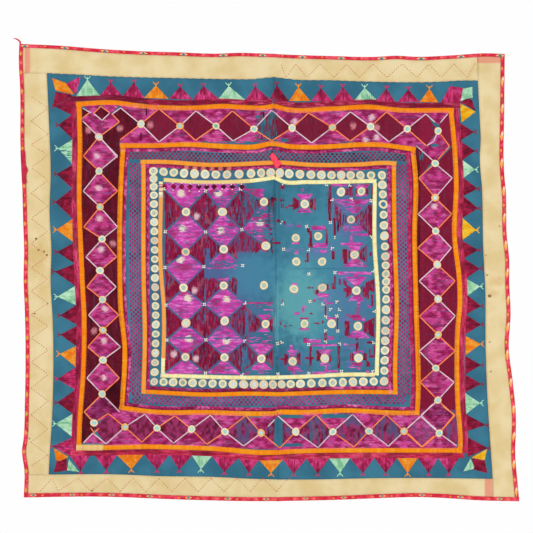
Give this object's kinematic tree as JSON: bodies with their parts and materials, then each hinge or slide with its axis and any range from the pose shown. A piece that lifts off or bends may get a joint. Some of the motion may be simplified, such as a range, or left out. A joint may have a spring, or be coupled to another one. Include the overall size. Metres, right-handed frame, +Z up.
{
  "type": "mirror work wall hanging",
  "caption": "Square embroidered cotton wall hanging with a teal mirror work centre, a cream border and a narrow printed binding, hung from its top edge.",
  "frame": {"origin": "middle of the top edge, where the hanging is fastened to a wall", "axes": "+Z up, +X to the right of someone who faces it, -Y out of its face towards the viewer"},
  "size_m": [0.9602, 0.0102, 0.8795],
  "materials": {
    "teal_cotton": "matt plain weave",
    "cream_cotton": "matt plain weave",
    "printed_cotton": "matt print",
    "crimson_cotton": "matt plain weave",
    "bright_red_cotton": "matt plain weave",
    "pale_thread": "soft twisted thread",
    "silk_floss": "silky untwisted floss",
    "mirror_glass": "aged silvered glass"
  },
  "bodies": {
    "root": {"ground_left": "teal_cotton", "ground_right": "teal_cotton", "border_top": "cream_cotton", "border_right": "cream_cotton", "border_bottom": "cream_cotton", "border_left": "cream_cotton", "binding_top": "printed_cotton", "binding_right": "printed_cotton", "binding_bottom": "printed_cotton", "binding_left": "printed_cotton", "binding_mend": "crimson_cotton", "binding_tail": "printed_cotton", "corner_loop": "pale_thread", "seam_patch": "bright_red_cotton", "mirror_top_1": "mirror_glass", "mirror_top_2": "mirror_glass", "mirror_top_3": "mirror_glass", "mirror_top_4": "mirror_glass", "mirror_top_5": "mirror_glass", "mirror_top_6": "mirror_glass", "mirror_top_7": "mirror_glass", "mirror_top_8": "mirror_glass", "mirror_top_9": "mirror_glass", "mirror_left_1": "mirror_glass", "mirror_left_2": "mirror_glass", "mirror_left_3": "mirror_glass", "mirror_left_4": "mirror_glass", "mirror_left_5": "mirror_glass", "mirror_left_6": "mirror_glass", "mirror_left_7": "mirror_glass", "mirror_left_8": "mirror_glass", "mirror_left_9": "mirror_glass", "mirror_left_10": "mirror_glass", "mirror_bottom_1": "mirror_glass", "mirror_bottom_2": "mirror_glass", "mirror_bottom_3": "mirror_glass", "mirror_bottom_4": "mirror_glass", "mirror_bottom_5": "mirror_glass", "mirror_bottom_6": "mirror_glass", "mirror_bottom_7": "mirror_glass", "mirror_bottom_8": "mirror_glass", "mirror_bottom_9": "mirror_glass", "mirror_bottom_10": "mirror_glass", "mirror_right_1": "mirror_glass", "mirror_right_2": "mirror_glass", "mirror_right_3": "mirror_glass", "mirror_right_4": "mirror_glass", "mirror_right_5": "mirror_glass", "mirror_right_6": "mirror_glass", "mirror_right_7": "mirror_glass", "mirror_right_8": "mirror_glass"}
  },
  "joints": []
}
